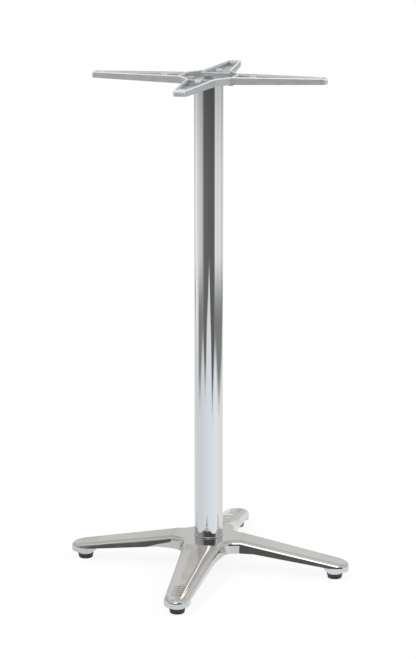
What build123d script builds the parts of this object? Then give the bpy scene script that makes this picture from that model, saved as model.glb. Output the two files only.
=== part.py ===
from build123d import *
import os
from math import acos, atan2, cos, degrees, hypot, radians, sin, tan

# Bar-height table base: four-leg foot, round column and top spider.
# Millimetres, +Z up, origin on the floor under the middle of the column.
# +X is the right leg and -Y the front leg. The side legs and the side arms
# are castings of their own, bolted to one long front to rear casting.

# Overall
overall_height = 1055.0
column_diameter = 60.0
column_wall = 1.5
fit_clearance = 0.2

# Hub of the foot
hub_top = 74.0
hub_rim = 48.0
hub_seam = 74.5
hub_crease = 70.0
crease_radius = 40.0
corner_half = 48.0
corner_place = 41.5
corner_radius = 23.0
neck_half = 39.0
neck_place = 100.0
neck_radius = 300.0
hub_boss_diameter = 64.0
hub_boss_depth = 16.0
seat_diameter = 63.0
seat_height = 2.4
seat_round = 1.1
spigot_height = 12.0
spigot_wall = 4.0

# Legs
leg_reach = 303.5
leg_root_half = 35.0
toe_radius = 26.5
toe_top = 38.0
toe_rim = 27.4
toe_floor = 18.0
toe_heel = 13.0
arch_start = 105.0
hub_draft = 7.5
leg_draft = 10.5
shoulder_radius = 11.0
casting_wall = 5.0
casting_top = 5.5
rib_thickness = 3.0
rib_drop = 3.0
cross_rib_places = (135.0, 195.0)

# Grip grooves on each toe
groove_count = 6
groove_pitch = 7.0
groove_inset = 42.0
groove_length = 24.0
groove_width = 1.6
groove_depth = 0.6

# Feet
foot_inset = 30.0
pad_diameter = 33.0
pad_height = 11.0
pad_chamfer = 1.5
pad_flange_height = 3.4
pad_groove_height = 0.8
pad_body_inset = 0.7
pad_foot_inset = 0.6
pad_top_radius = 0.8
foot_boss_diameter = 31.0
stud_diameter = 8.0
stud_head_diameter = 18.0
stud_head_height = 5.0
stud_length = 16.0

# Side leg joint
flange_thickness = 6.0
leg_end_wall = 7.0
seam_gap = 0.8
seam_gap_depth = 0.9
leg_boss_diameter = 15.0
leg_boss_length = 14.0
leg_bolt_length = 22.0
leg_bolt_spread = 30.0
leg_bolt_height = 59.0
bolt_diameter = 8.0
bolt_clearance = 0.5
bolt_flats = 13.0
bolt_head_height = 5.5
washer_diameter = 16.0
washer_thickness = 1.6

# Tie rod
rod_diameter = 10.0
rod_nut_flats = 16.0
lower_nut_height = 8.0
upper_nut_height = 5.0
lower_washer_diameter = 36.0
lower_washer_thickness = 3.0
upper_washer_diameter = 24.0
upper_washer_thickness = 2.0
rod_stick_out = 1.0

# Spider
spider_reach = 243.0
spider_tip_half = 13.2
spider_tip_chamfer = 4.0
spider_neck_half = 29.4
spider_neck_place = 71.0
spider_seam = 54.0
spider_seam_half = 34.0
spider_hub_depth = 15.0
spider_tip_depth = 12.0
spider_wall = 3.5
spider_floor = 3.0
spider_edge = 1.3
spider_rib = 3.0
spider_rib_place = 58.0
screw_boss_diameter = 13.0
screw_hole_diameter = 5.5
outer_screw_inset = 18.0
inner_screw_place = 92.0
screw_web_height = 5.0
spider_boss_diameter = 34.0
spider_boss_height = 3.0
tongue_width = 30.0
tongue_thickness = 6.0
tongue_length = 22.0
spider_bolt_place = 45.0

# Worked out from the sizes above
toe_centre = leg_reach - toe_radius
foot_place = leg_reach - foot_inset
groove_middle = leg_reach - groove_inset
core_end = toe_centre - toe_heel - 2 * casting_wall
hub_drift = (hub_rim - toe_rim) * tan(radians(hub_draft))
leg_drift = (hub_rim - toe_rim) * tan(radians(leg_draft))
overrun = 15.0
cast_height = hub_top - toe_rim + overrun
seat_top = hub_top + seat_height
pad_body_radius = pad_diameter / 2 - pad_body_inset
pad_foot_radius = pad_body_radius - pad_foot_inset
column_top = overall_height - spider_hub_depth
tube_bore = column_diameter - 2 * column_wall
spigot_diameter = tube_bore - 2 * fit_clearance
rod_hole_diameter = rod_diameter + bolt_clearance
bolt_hole_diameter = bolt_diameter + bolt_clearance
hub_boss_foot = hub_top - hub_boss_depth
rod_foot = hub_boss_foot - lower_washer_thickness - lower_nut_height - rod_stick_out
spider_floor_top = column_top + spider_floor
spider_boss_top = spider_floor_top + spider_boss_height
outer_screw_place = spider_reach - outer_screw_inset
screw_places = (outer_screw_place, inner_screw_place)
bolt_seat = hub_seam - flange_thickness
bolt_spots = [
    (-leg_bolt_spread / 2, leg_bolt_height),
    (leg_bolt_spread / 2, leg_bolt_height),
]
rod_top = spider_boss_top + upper_washer_thickness + upper_nut_height + rod_stick_out


def top_height(place, crease, drop=0.0):
    """Height of a leg's top face at a distance from the column."""
    fall = (hub_top - toe_top) / (toe_centre - crease)
    return hub_top - drop - fall * max(0.0, place - crease)


def rim_height(place):
    """Height of a leg's lower edge at a distance from the column."""
    heel = toe_centre - toe_heel
    fall = (hub_rim - toe_rim) / (heel - arch_start)
    return hub_rim - fall * min(max(0.0, place - arch_start), heel - arch_start)


def leg_side(start, end, crease, drop, lift):
    """Side view of a leg, from start to end: top lowered, lower edge lifted."""
    heel = toe_centre - toe_heel
    tops = [start] + [crease] * (start < crease < end) + [end]
    rims = [end] + [heel] * (start < heel < end) + [arch_start] * (start < arch_start < end) + [start]
    upper = [(place, top_height(place, crease, drop)) for place in tops]
    lower = [(place, rim_height(place) + lift) for place in rims]
    return upper + lower


def taper_angle(half, place):
    """Angle between a leg's middle line and its edge, tangent to the toe."""
    run = toe_centre - place
    return degrees(acos(toe_radius / hypot(half, run)) - atan2(run, half))


def toe_point(half, place):
    """Point where the edge from (place, half) meets the toe's round end."""
    angle = radians(taper_angle(half, place))
    return toe_centre + toe_radius * sin(angle), toe_radius * cos(angle)


def arm_side(start, end, lift, over):
    """Side view of a spider arm: underside lifted, top raised by over."""
    depth_change = spider_hub_depth - spider_tip_depth
    places = [start] + [spider_neck_place] * (start < spider_neck_place) + [end]
    rise = [depth_change * (place > spider_neck_place) for place in places]
    under = [(place, column_top + lift + up) for place, up in zip(places, rise)]
    return under + [(end, overall_height + over), (start, overall_height + over)]


def spider_top_edges(shape):
    """Outer edges of a spider casting's top, leaving out the seams."""
    top = shape.faces().sort_by(Axis.Z)[-1]
    return top.edges().filter_by(
        lambda edge: abs(abs((edge @ 0.5).X) - spider_seam) > 0.01
    )


def groove_plane(along_x, along_y, crease):
    """Plane on a leg's sloped top, at the middle of its grip grooves."""
    fall = (hub_top - toe_top) / (toe_centre - crease)
    height = top_height(groove_middle, crease)
    return Plane(
        origin=(along_x * groove_middle, along_y * groove_middle, height),
        x_dir=(along_x, along_y, -fall),
        z_dir=(along_x * fall, along_y * fall, 1),
    )


def top_edges(shape):
    """Outer edges of the upward faces, leaving out seams."""
    tops = shape.faces().filter_by(lambda face: face.normal_at().Z > 0.9)
    walls = shape.faces().filter_by(lambda face: 0.05 < face.normal_at().Z < 0.9)
    shared = ShapeList()
    for edge in tops.edges():
        if any((edge @ 0.5 - other @ 0.5).length < 0.01 for other in walls.edges()):
            shared.append(edge)
    return shared


# Base crosspiece, outline of hub and both long legs at the toes' lip
with BuildSketch(Plane.XY.offset(toe_rim)) as crosspiece_plan:
    lip_half = neck_half + hub_drift
    toe_end, toe_half = toe_point(lip_half, neck_place)
    toe_turn = taper_angle(lip_half, neck_place)
    stub_slope = (corner_place - leg_root_half) / (hub_seam - corner_half)
    stub_half = leg_root_half - stub_slope * overrun + hub_drift
    with BuildLine():
        CenterArc((0, toe_centre), toe_radius, toe_turn, 90 - toe_turn)
        Polyline(
            (toe_half, toe_end),
            (lip_half, neck_place),
            (corner_half + hub_drift, corner_place + hub_drift),
            (hub_seam + overrun, stub_half),
            (hub_seam + overrun, 0),
            (0, 0),
            (0, leg_reach),
        )
    make_face()
    mirror(about=Plane.YZ)
    mirror(about=Plane.XZ)
    corners = crosspiece_plan.vertices().filter_by(
        lambda vertex: abs(abs(vertex.X) - corner_half - hub_drift) < 0.01
    )
    fillet(corners, radius=corner_radius)
    necks = crosspiece_plan.vertices().filter_by(
        lambda vertex: abs(abs(vertex.Y) - neck_place) < 0.01
    )
    fillet(necks, radius=neck_radius)

# Hollow underside of the crosspiece, with its ribs left standing
with BuildPart() as crosspiece_core:
    with BuildSketch(Plane.XY.offset(toe_rim)):
        offset(crosspiece_plan.sketch, amount=-casting_wall)
    extrude(amount=cast_height, taper=hub_draft)
    with BuildSketch(Plane.YZ):
        with BuildLine():
            Polyline(*leg_side(0, core_end, hub_crease, casting_top, -overrun), close=True)
        make_face()
        mirror(about=Plane.YZ)
    extrude(amount=hub_seam - flange_thickness, both=True, mode=Mode.INTERSECT)
    with Locations((0, 0, hub_boss_foot)):
        Cylinder(
            hub_boss_diameter / 2,
            hub_boss_depth,
            align=(Align.CENTER, Align.CENTER, Align.MIN),
            mode=Mode.SUBTRACT,
        )
    with BuildSketch(Plane.YZ):
        with BuildLine():
            Polyline(*leg_side(0, core_end, hub_crease, 0, rib_drop), close=True)
        make_face()
        mirror(about=Plane.YZ)
    extrude(amount=rib_thickness / 2, both=True, mode=Mode.SUBTRACT)
    with Locations((0, 0, hub_rim + rib_drop)):
        Box(
            2 * hub_seam,
            rib_thickness,
            hub_top - hub_rim,
            align=(Align.CENTER, Align.CENTER, Align.MIN),
            mode=Mode.SUBTRACT,
        )
    for place in (hub_crease,) + cross_rib_places:
        for side in (-1, 1):
            with Locations((0, side * place, rim_height(place) + rib_drop)):
                Box(
                    2 * hub_seam,
                    rib_thickness,
                    hub_top - hub_rim,
                    align=(Align.CENTER, Align.CENTER, Align.MIN),
                    mode=Mode.SUBTRACT,
                )
    with Locations((0, 0, hub_boss_foot)):
        Cylinder(
            hub_boss_diameter / 2,
            hub_boss_foot - hub_rim + overrun,
            align=(Align.CENTER, Align.CENTER, Align.MAX),
        )

with BuildPart() as base_crosspiece:
    add(crosspiece_plan.sketch)
    extrude(amount=cast_height, taper=hub_draft)
    with BuildSketch(Plane.YZ) as crosspiece_side:
        with BuildLine():
            Polyline(*leg_side(0, leg_reach, hub_crease, 0, 0), close=True)
        make_face()
        crease = crosspiece_side.vertices().sort_by_distance((hub_crease, hub_top))[0]
        fillet(crease, radius=crease_radius)
        mirror(about=Plane.YZ)
    extrude(amount=hub_seam, both=True, mode=Mode.INTERSECT)
    fillet(top_edges(base_crosspiece.part), radius=shoulder_radius)
    add(crosspiece_core.part, mode=Mode.SUBTRACT)
    with BuildSketch(Plane.XY.offset(toe_floor)):
        for side in (-1, 1):
            with Locations((0, side * toe_centre)):
                Circle(toe_radius)
            with Locations((0, side * (toe_centre - toe_heel / 2))):
                Rectangle(2 * toe_radius, toe_heel)
    extrude(amount=toe_rim - toe_floor)
    with BuildSketch(Plane.XY.offset(pad_height)):
        with Locations((0, foot_place), (0, -foot_place)):
            Circle(foot_boss_diameter / 2)
    extrude(amount=toe_floor - pad_height)
    with BuildSketch(Plane.XY.offset(pad_height)):
        with Locations((0, foot_place), (0, -foot_place)):
            Circle(stud_diameter / 2)
    extrude(amount=stud_length, mode=Mode.SUBTRACT)
    with BuildSketch(Plane.XY.offset(hub_top)):
        Circle(seat_diameter / 2)
        Circle(spigot_diameter / 2 - spigot_wall, mode=Mode.SUBTRACT)
    extrude(amount=seat_height)
    seat_rim = base_crosspiece.edges().group_by(Axis.Z)[-1].sort_by(SortBy.RADIUS)[-1]
    fillet(seat_rim, radius=seat_round)
    with BuildSketch(Plane.XY.offset(seat_top)):
        Circle(spigot_diameter / 2)
        Circle(spigot_diameter / 2 - spigot_wall, mode=Mode.SUBTRACT)
    extrude(amount=spigot_height)
    with BuildSketch(Plane.XY.offset(hub_boss_foot)):
        Circle(rod_hole_diameter / 2)
    extrude(amount=hub_boss_depth, mode=Mode.SUBTRACT)
    with BuildSketch(Plane.YZ.offset(hub_seam), Plane.YZ.offset(-bolt_seat)):
        with Locations(*bolt_spots):
            Circle(bolt_hole_diameter / 2)
    extrude(amount=-flange_thickness, mode=Mode.SUBTRACT)
    for side in (-1, 1):
        with BuildSketch(groove_plane(0, side, hub_crease)):
            with GridLocations(groove_pitch, 0, groove_count, 1):
                Rectangle(groove_width, groove_length)
        extrude(amount=-groove_depth, mode=Mode.SUBTRACT)
base_crosspiece.part.label = "base_crosspiece"

# Side leg outline, run inwards past the seam so that the draft is cut square
with BuildSketch(Plane.XY.offset(toe_rim)) as side_leg_plan:
    root_half = leg_root_half + leg_drift
    toe_end, toe_half = toe_point(root_half, hub_seam)
    toe_turn = taper_angle(root_half, hub_seam)
    inner_half = root_half + overrun * tan(radians(toe_turn))
    with BuildLine():
        CenterArc((toe_centre, 0), toe_radius, 0, 90 - toe_turn)
        Polyline(
            (toe_end, toe_half),
            (hub_seam - overrun, inner_half),
            (hub_seam - overrun, 0),
            (leg_reach, 0),
        )
    make_face()
    mirror(about=Plane.XZ)

# Hollow underside of a side leg, with its ribs and bolt bosses left standing
with BuildPart() as side_leg_core:
    with BuildSketch(Plane.XY.offset(toe_rim)):
        offset(side_leg_plan.sketch, amount=-casting_wall)
    extrude(amount=cast_height, taper=leg_draft)
    with BuildSketch(Plane.XZ):
        core_start = hub_seam + leg_end_wall
        with BuildLine():
            Polyline(*leg_side(core_start, core_end, hub_seam, casting_top, -overrun), close=True)
        make_face()
    extrude(amount=hub_seam, both=True, mode=Mode.INTERSECT)
    with BuildSketch(Plane.XZ):
        with BuildLine():
            Polyline(*leg_side(hub_seam, core_end, hub_seam, 0, rib_drop), close=True)
        make_face()
    extrude(amount=rib_thickness / 2, both=True, mode=Mode.SUBTRACT)
    for place in cross_rib_places:
        with Locations((place, 0, rim_height(place) + rib_drop)):
            Box(
                rib_thickness,
                2 * hub_seam,
                hub_top - hub_rim,
                align=(Align.CENTER, Align.CENTER, Align.MIN),
                mode=Mode.SUBTRACT,
            )
    with BuildSketch(Plane.YZ.offset(hub_seam)):
        with Locations(*bolt_spots):
            Circle(leg_boss_diameter / 2)
    extrude(amount=leg_end_wall + leg_boss_length, mode=Mode.SUBTRACT)

# Shadow groove round the seam, cut into the side leg's end
with BuildSketch(Plane.YZ.offset(hub_seam)) as seam_core:
    core_top = hub_top - seam_gap_depth
    core_half = leg_root_half - seam_gap_depth
    top_half = core_half - (core_top - hub_rim) * tan(radians(leg_draft))
    foot_half = core_half + overrun * tan(radians(leg_draft))
    with BuildLine():
        Polyline(
            (-top_half, core_top),
            (top_half, core_top),
            (foot_half, hub_rim - overrun),
            (-foot_half, hub_rim - overrun),
            close=True,
        )
    make_face()
    core_corners = seam_core.vertices().group_by(Axis.Y)[-1]
    fillet(core_corners, radius=shoulder_radius - seam_gap_depth)

with BuildPart() as seam_groove:
    with BuildSketch(Plane.YZ.offset(hub_seam)):
        with Locations((0, hub_top)):
            Rectangle(2 * hub_seam, 4 * overrun)
        add(seam_core.sketch_local, mode=Mode.SUBTRACT)
    extrude(amount=seam_gap)

with BuildPart() as base_leg_right:
    add(side_leg_plan.sketch)
    extrude(amount=cast_height, taper=leg_draft)
    with BuildSketch(Plane.XZ):
        with BuildLine():
            Polyline(*leg_side(hub_seam, leg_reach, hub_seam, 0, 0), close=True)
        make_face()
    extrude(amount=hub_seam, both=True, mode=Mode.INTERSECT)
    fillet(top_edges(base_leg_right.part), radius=shoulder_radius)
    add(side_leg_core.part, mode=Mode.SUBTRACT)
    add(seam_groove.part, mode=Mode.SUBTRACT)
    with BuildSketch(Plane.XY.offset(toe_floor)):
        with Locations((toe_centre, 0)):
            Circle(toe_radius)
        with Locations((toe_centre - toe_heel / 2, 0)):
            Rectangle(toe_heel, 2 * toe_radius)
    extrude(amount=toe_rim - toe_floor)
    with BuildSketch(Plane.XY.offset(pad_height)):
        with Locations((foot_place, 0)):
            Circle(foot_boss_diameter / 2)
    extrude(amount=toe_floor - pad_height)
    with BuildSketch(Plane.XY.offset(pad_height)):
        with Locations((foot_place, 0)):
            Circle(stud_diameter / 2)
    extrude(amount=stud_length, mode=Mode.SUBTRACT)
    with BuildSketch(Plane.YZ.offset(hub_seam)):
        with Locations(*bolt_spots):
            Circle(bolt_diameter / 2)
    extrude(amount=leg_end_wall + leg_boss_length, mode=Mode.SUBTRACT)
    with BuildSketch(groove_plane(1, 0, hub_seam)):
        with GridLocations(groove_pitch, 0, groove_count, 1):
            Rectangle(groove_width, groove_length)
    extrude(amount=-groove_depth, mode=Mode.SUBTRACT)
base_leg_right.part.label = "base_leg_right"

with BuildPart() as base_leg_left:
    add(base_leg_right.part, rotation=(0, 0, 180))
base_leg_left.part.label = "base_leg_left"

# Side leg bolts, pushed out from inside the hub through its flanges
with BuildPart() as leg_bolt_washers:
    with BuildSketch(Plane.YZ.offset(bolt_seat)):
        with Locations(*bolt_spots):
            Circle(washer_diameter / 2)
            Circle(bolt_diameter / 2, mode=Mode.SUBTRACT)
    extrude(amount=-washer_thickness)
    mirror(about=Plane.YZ)
leg_bolt_washers.part.label = "leg_bolt_washers"

with BuildPart() as leg_bolts:
    with BuildSketch(Plane.YZ.offset(bolt_seat - washer_thickness)):
        with Locations(*bolt_spots):
            RegularPolygon(bolt_flats / 2, 6, major_radius=False)
    extrude(amount=-bolt_head_height)
    with BuildSketch(Plane.YZ.offset(bolt_seat - washer_thickness)):
        with Locations(*bolt_spots):
            Circle(bolt_diameter / 2)
    extrude(amount=leg_bolt_length)
    mirror(about=Plane.YZ)
leg_bolts.part.label = "leg_bolts"

# Feet: a black glide with a threaded stud, at the end of each leg
with BuildPart() as foot_pad:
    with BuildSketch(Plane.XZ):
        with BuildLine():
            Polyline(
                (0, 0),
                (pad_foot_radius - pad_chamfer, 0),
                (pad_foot_radius, pad_chamfer),
                (pad_body_radius, pad_height - pad_flange_height - pad_groove_height),
                (pad_body_radius, pad_height - pad_flange_height),
                (pad_diameter / 2, pad_height - pad_flange_height),
                (pad_diameter / 2, pad_height),
                (stud_head_diameter / 2, pad_height),
                (stud_head_diameter / 2, pad_height - stud_head_height),
                (0, pad_height - stud_head_height),
                close=True,
            )
        make_face()
    revolve(axis=Axis.Z)
    top_rim = foot_pad.edges().group_by(Axis.Z)[-1].sort_by(SortBy.RADIUS)[-1]
    fillet(top_rim, radius=pad_top_radius)

with BuildPart() as foot_stud:
    with BuildSketch(Plane.XY.offset(pad_height - stud_head_height)):
        Circle(stud_head_diameter / 2)
    extrude(amount=stud_head_height)
    with BuildSketch(Plane.XY.offset(pad_height)):
        Circle(stud_diameter / 2)
    extrude(amount=stud_length)

foot_turns = {"right": 0, "rear": 90, "left": 180, "front": 270}
feet = []
for name, turn in foot_turns.items():
    with BuildPart() as placed_pad:
        with Locations(Location((0, 0, 0), (0, 0, turn))):
            add(foot_pad.part.moved(Location((foot_place, 0, 0))))
    placed_pad.part.label = "foot_pad_" + name
    feet.append(placed_pad.part)
    with BuildPart() as placed_stud:
        with Locations(Location((0, 0, 0), (0, 0, turn))):
            add(foot_stud.part.moved(Location((foot_place, 0, 0))))
    placed_stud.part.label = "foot_stud_" + name
    feet.append(placed_stud.part)

# Column tube, standing on the hub's seat around its spigot
with BuildPart() as column_tube:
    with BuildSketch(Plane.XY.offset(seat_top)):
        Circle(column_diameter / 2)
        Circle(tube_bore / 2, mode=Mode.SUBTRACT)
    extrude(amount=column_top - seat_top)
column_tube.part.label = "column_tube"

# Tie rod with its nuts and washers
with BuildPart() as tie_rod:
    with BuildSketch(Plane.XY.offset(rod_foot)):
        Circle(rod_diameter / 2)
    extrude(amount=rod_top - rod_foot)
    chamfer(tie_rod.edges(), length=rod_stick_out / 2)
tie_rod.part.label = "tie_rod"

with BuildPart() as tie_rod_lower_washer:
    with BuildSketch(Plane.XY.offset(hub_boss_foot)):
        Circle(lower_washer_diameter / 2)
        Circle(rod_diameter / 2, mode=Mode.SUBTRACT)
    extrude(amount=-lower_washer_thickness)
tie_rod_lower_washer.part.label = "tie_rod_lower_washer"

with BuildPart() as tie_rod_lower_nut:
    with BuildSketch(Plane.XY.offset(hub_boss_foot - lower_washer_thickness)):
        RegularPolygon(rod_nut_flats / 2, 6, major_radius=False)
        Circle(rod_diameter / 2, mode=Mode.SUBTRACT)
    extrude(amount=-lower_nut_height)
tie_rod_lower_nut.part.label = "tie_rod_lower_nut"

with BuildPart() as tie_rod_upper_washer:
    with BuildSketch(Plane.XY.offset(spider_boss_top)):
        Circle(upper_washer_diameter / 2)
        Circle(rod_diameter / 2, mode=Mode.SUBTRACT)
    extrude(amount=upper_washer_thickness)
tie_rod_upper_washer.part.label = "tie_rod_upper_washer"

with BuildPart() as tie_rod_upper_nut:
    with BuildSketch(Plane.XY.offset(spider_boss_top + upper_washer_thickness)):
        RegularPolygon(rod_nut_flats / 2, 6, major_radius=False)
        Circle(rod_diameter / 2, mode=Mode.SUBTRACT)
    extrude(amount=upper_nut_height)
tie_rod_upper_nut.part.label = "tie_rod_upper_nut"

# Spider crosspiece: open-topped troughs, screw bosses and a well for the nut
with BuildSketch(Plane.XY.offset(overall_height)) as spider_plan:
    with BuildLine():
        Polyline(
            (0, spider_reach),
            (spider_tip_half - spider_tip_chamfer, spider_reach),
            (spider_tip_half, spider_reach - spider_tip_chamfer),
            (spider_neck_half, spider_neck_place),
            (spider_seam, spider_seam_half),
            (spider_seam, 0),
            (0, 0),
            close=True,
        )
    make_face()
    mirror(about=Plane.YZ)
    mirror(about=Plane.XZ)

with BuildPart() as spider_core:
    with BuildSketch(Plane.XY.offset(column_top)):
        offset(spider_plan.sketch.moved(Location((0, 0, -overall_height))), amount=-spider_wall)
        Rectangle(2 * (spider_seam + spider_wall), 2 * (spider_seam_half - spider_wall))
    extrude(amount=2 * spider_hub_depth)
    with BuildSketch(Plane.YZ):
        with BuildLine():
            Polyline(*arm_side(0, spider_reach, spider_floor, spider_edge), close=True)
        make_face()
        mirror(about=Plane.YZ)
    extrude(amount=2 * spider_seam, both=True, mode=Mode.INTERSECT)
    for place in screw_places:
        with Locations((0, place, column_top), (0, -place, column_top)):
            Cylinder(
                screw_boss_diameter / 2,
                spider_hub_depth,
                align=(Align.CENTER, Align.CENTER, Align.MIN),
                mode=Mode.SUBTRACT,
            )
    with BuildSketch(Plane.XY.offset(column_top)):
        with Locations((0, spider_rib_place), (0, -spider_rib_place)):
            Rectangle(2 * spider_seam, spider_rib)
    extrude(amount=spider_hub_depth - rib_drop, mode=Mode.SUBTRACT)
    with BuildSketch(Plane.XY.offset(column_top)):
        with Locations((0, inner_screw_place), (0, -inner_screw_place)):
            Rectangle(2 * spider_seam, spider_rib)
    extrude(amount=spider_floor + screw_web_height, mode=Mode.SUBTRACT)
    with Locations((0, 0, column_top)):
        Cylinder(
            spider_boss_diameter / 2,
            spider_floor + spider_boss_height,
            align=(Align.CENTER, Align.CENTER, Align.MIN),
            mode=Mode.SUBTRACT,
        )

with BuildPart() as spider_crosspiece:
    add(spider_plan.sketch)
    extrude(amount=-spider_hub_depth)
    with BuildSketch(Plane.YZ):
        with BuildLine():
            Polyline(*arm_side(0, spider_reach, 0, 0), close=True)
        make_face()
        mirror(about=Plane.YZ)
    extrude(amount=2 * spider_seam, both=True, mode=Mode.INTERSECT)
    chamfer(spider_top_edges(spider_crosspiece.part), length=spider_edge)
    add(spider_core.part, mode=Mode.SUBTRACT)
    with BuildSketch(Plane.XY.offset(column_top)):
        Circle(spigot_diameter / 2)
        Circle(spigot_diameter / 2 - spigot_wall, mode=Mode.SUBTRACT)
    extrude(amount=-spigot_height)
    with BuildSketch(Plane.XY.offset(column_top)):
        for place in screw_places:
            with Locations((0, place), (0, -place)):
                Circle(screw_hole_diameter / 2)
        Circle(rod_hole_diameter / 2)
        with Locations((spider_bolt_place, 0), (-spider_bolt_place, 0)):
            Circle(bolt_hole_diameter / 2)
    extrude(amount=spider_hub_depth, mode=Mode.SUBTRACT)
spider_crosspiece.part.label = "spider_crosspiece"

# Spider side arm, with a tongue that lies on the hub's floor
with BuildSketch(Plane.XY.offset(overall_height)) as arm_plan:
    with BuildLine():
        Polyline(
            (spider_seam, 0),
            (spider_seam, spider_seam_half),
            (spider_reach - spider_tip_chamfer, spider_tip_half),
            (spider_reach, spider_tip_half - spider_tip_chamfer),
            (spider_reach, 0),
            close=True,
        )
    make_face()
    mirror(about=Plane.XZ)

with BuildPart() as arm_core:
    with BuildSketch(Plane.XY.offset(column_top)):
        offset(arm_plan.sketch.moved(Location((0, 0, -overall_height))), amount=-spider_wall)
    extrude(amount=2 * spider_hub_depth)
    with BuildSketch(Plane.XZ):
        with BuildLine():
            Polyline(*arm_side(spider_seam, spider_reach, spider_floor, spider_edge), close=True)
        make_face()
    extrude(amount=2 * spider_seam, both=True, mode=Mode.INTERSECT)
    for place in screw_places:
        with Locations((place, 0, column_top)):
            Cylinder(
                screw_boss_diameter / 2,
                spider_hub_depth,
                align=(Align.CENTER, Align.CENTER, Align.MIN),
                mode=Mode.SUBTRACT,
            )
    with BuildSketch(Plane.XY.offset(column_top)):
        with Locations((inner_screw_place, 0)):
            Rectangle(spider_rib, 2 * spider_seam)
    extrude(amount=spider_floor + screw_web_height, mode=Mode.SUBTRACT)

with BuildPart() as spider_arm_right:
    add(arm_plan.sketch)
    extrude(amount=-spider_hub_depth)
    with BuildSketch(Plane.XZ):
        with BuildLine():
            Polyline(*arm_side(spider_seam, spider_reach, 0, 0), close=True)
        make_face()
    extrude(amount=2 * spider_seam, both=True, mode=Mode.INTERSECT)
    chamfer(spider_top_edges(spider_arm_right.part), length=spider_edge)
    add(arm_core.part, mode=Mode.SUBTRACT)
    with BuildSketch(Plane.XY.offset(spider_floor_top)):
        with Locations((spider_seam - tongue_length / 2, 0)):
            Rectangle(tongue_length, tongue_width)
    extrude(amount=tongue_thickness)
    with BuildSketch(Plane.XY.offset(column_top)):
        with Locations((outer_screw_place, 0), (inner_screw_place, 0)):
            Circle(screw_hole_diameter / 2)
        with Locations((spider_bolt_place, 0)):
            Circle(bolt_diameter / 2)
    extrude(amount=spider_hub_depth, mode=Mode.SUBTRACT)
spider_arm_right.part.label = "spider_arm_right"

with BuildPart() as spider_arm_left:
    add(spider_arm_right.part, rotation=(0, 0, 180))
spider_arm_left.part.label = "spider_arm_left"

with BuildPart() as spider_arm_bolts:
    with BuildSketch(Plane.XY.offset(column_top)):
        with Locations((spider_bolt_place, 0), (-spider_bolt_place, 0)):
            RegularPolygon(bolt_flats / 2, 6, major_radius=False)
    extrude(amount=-bolt_head_height)
    with BuildSketch(Plane.XY.offset(column_top)):
        with Locations((spider_bolt_place, 0), (-spider_bolt_place, 0)):
            Circle(bolt_diameter / 2)
    extrude(amount=spider_floor + tongue_thickness)
spider_arm_bolts.part.label = "spider_arm_bolts"

# Files, one for each piece
castings = [base_crosspiece, base_leg_right, base_leg_left, spider_crosspiece]
castings += [spider_arm_right, spider_arm_left, column_tube]
fixings = [leg_bolts, leg_bolt_washers, spider_arm_bolts, tie_rod]
fixings += [tie_rod_lower_washer, tie_rod_lower_nut, tie_rod_upper_washer, tie_rod_upper_nut]
os.makedirs("parts", exist_ok=True)
for piece in [builder.part for builder in castings + fixings] + feet:
    export_step(piece, "parts/" + piece.label + ".step")
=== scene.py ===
import math

import bpy
from mathutils import Matrix, Vector


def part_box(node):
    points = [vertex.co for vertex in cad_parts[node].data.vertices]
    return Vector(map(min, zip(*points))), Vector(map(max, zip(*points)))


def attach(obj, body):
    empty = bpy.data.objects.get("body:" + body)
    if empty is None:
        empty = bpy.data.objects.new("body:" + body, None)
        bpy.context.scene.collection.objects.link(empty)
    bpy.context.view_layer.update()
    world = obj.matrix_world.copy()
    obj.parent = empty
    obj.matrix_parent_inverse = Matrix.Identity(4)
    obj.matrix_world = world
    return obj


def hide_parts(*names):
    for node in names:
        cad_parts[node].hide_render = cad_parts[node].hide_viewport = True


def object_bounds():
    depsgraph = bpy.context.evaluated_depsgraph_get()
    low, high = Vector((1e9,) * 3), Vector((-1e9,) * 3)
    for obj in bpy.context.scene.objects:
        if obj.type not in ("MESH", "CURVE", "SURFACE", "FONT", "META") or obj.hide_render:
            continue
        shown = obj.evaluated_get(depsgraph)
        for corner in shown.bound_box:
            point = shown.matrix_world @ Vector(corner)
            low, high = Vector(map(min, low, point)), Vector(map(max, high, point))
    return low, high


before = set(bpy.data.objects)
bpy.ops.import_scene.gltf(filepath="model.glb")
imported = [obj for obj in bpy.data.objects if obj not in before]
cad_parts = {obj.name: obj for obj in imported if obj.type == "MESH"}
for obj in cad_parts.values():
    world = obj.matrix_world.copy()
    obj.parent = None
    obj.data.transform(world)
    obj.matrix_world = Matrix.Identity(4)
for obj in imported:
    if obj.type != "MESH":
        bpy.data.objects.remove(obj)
cad_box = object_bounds()
rim_height = cad_box[1][2]

# Camera: where it stands round the base, in degrees and metres, and its lens
camera_azimuth = 13.459
camera_distance = 4.46672
camera_height = 1.64109
camera_sideways = -0.00142
camera_pitch = 14.0534
camera_lens = 120.8

# Height on the column that the lamps are aimed at
lamp_aim = 0.5

# Floor, and the feet that stand on it
floor_half = 14.0
foot_reach = 0.2735
foot_places = {
    "front": (0.0, -foot_reach),
    "right": (foot_reach, 0.0),
    "rear": (0.0, foot_reach),
    "left": (-foot_reach, 0.0),
}

# Fixings, in metres
bolt_radius = 0.004
bolt_head_height = 0.0055
bolt_tip = 0.001
bolt_washer_thickness = 0.0016
bolt_washer_hole = 0.0082
thread_pitch = 0.0015
threaded_length = 0.030
rod_end_chamfer = 0.0012
rod_end_length = 0.0006
thread_run_out = 0.001
rod_washer_clearance = 0.0006
bore_chamfer = 0.0005
washer_edge = 0.0003
# Thread, in shares of its pitch: depth, then the places of root, crest, crest and root
thread_depth = 0.61
thread_steps = (0.06, 0.44, 0.56, 0.94)
# Chamfer of heads and nuts: where it starts, in shares of the flats, and its slope
hex_rim_share = 0.485
hex_chamfer_slope = 0.5

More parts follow.
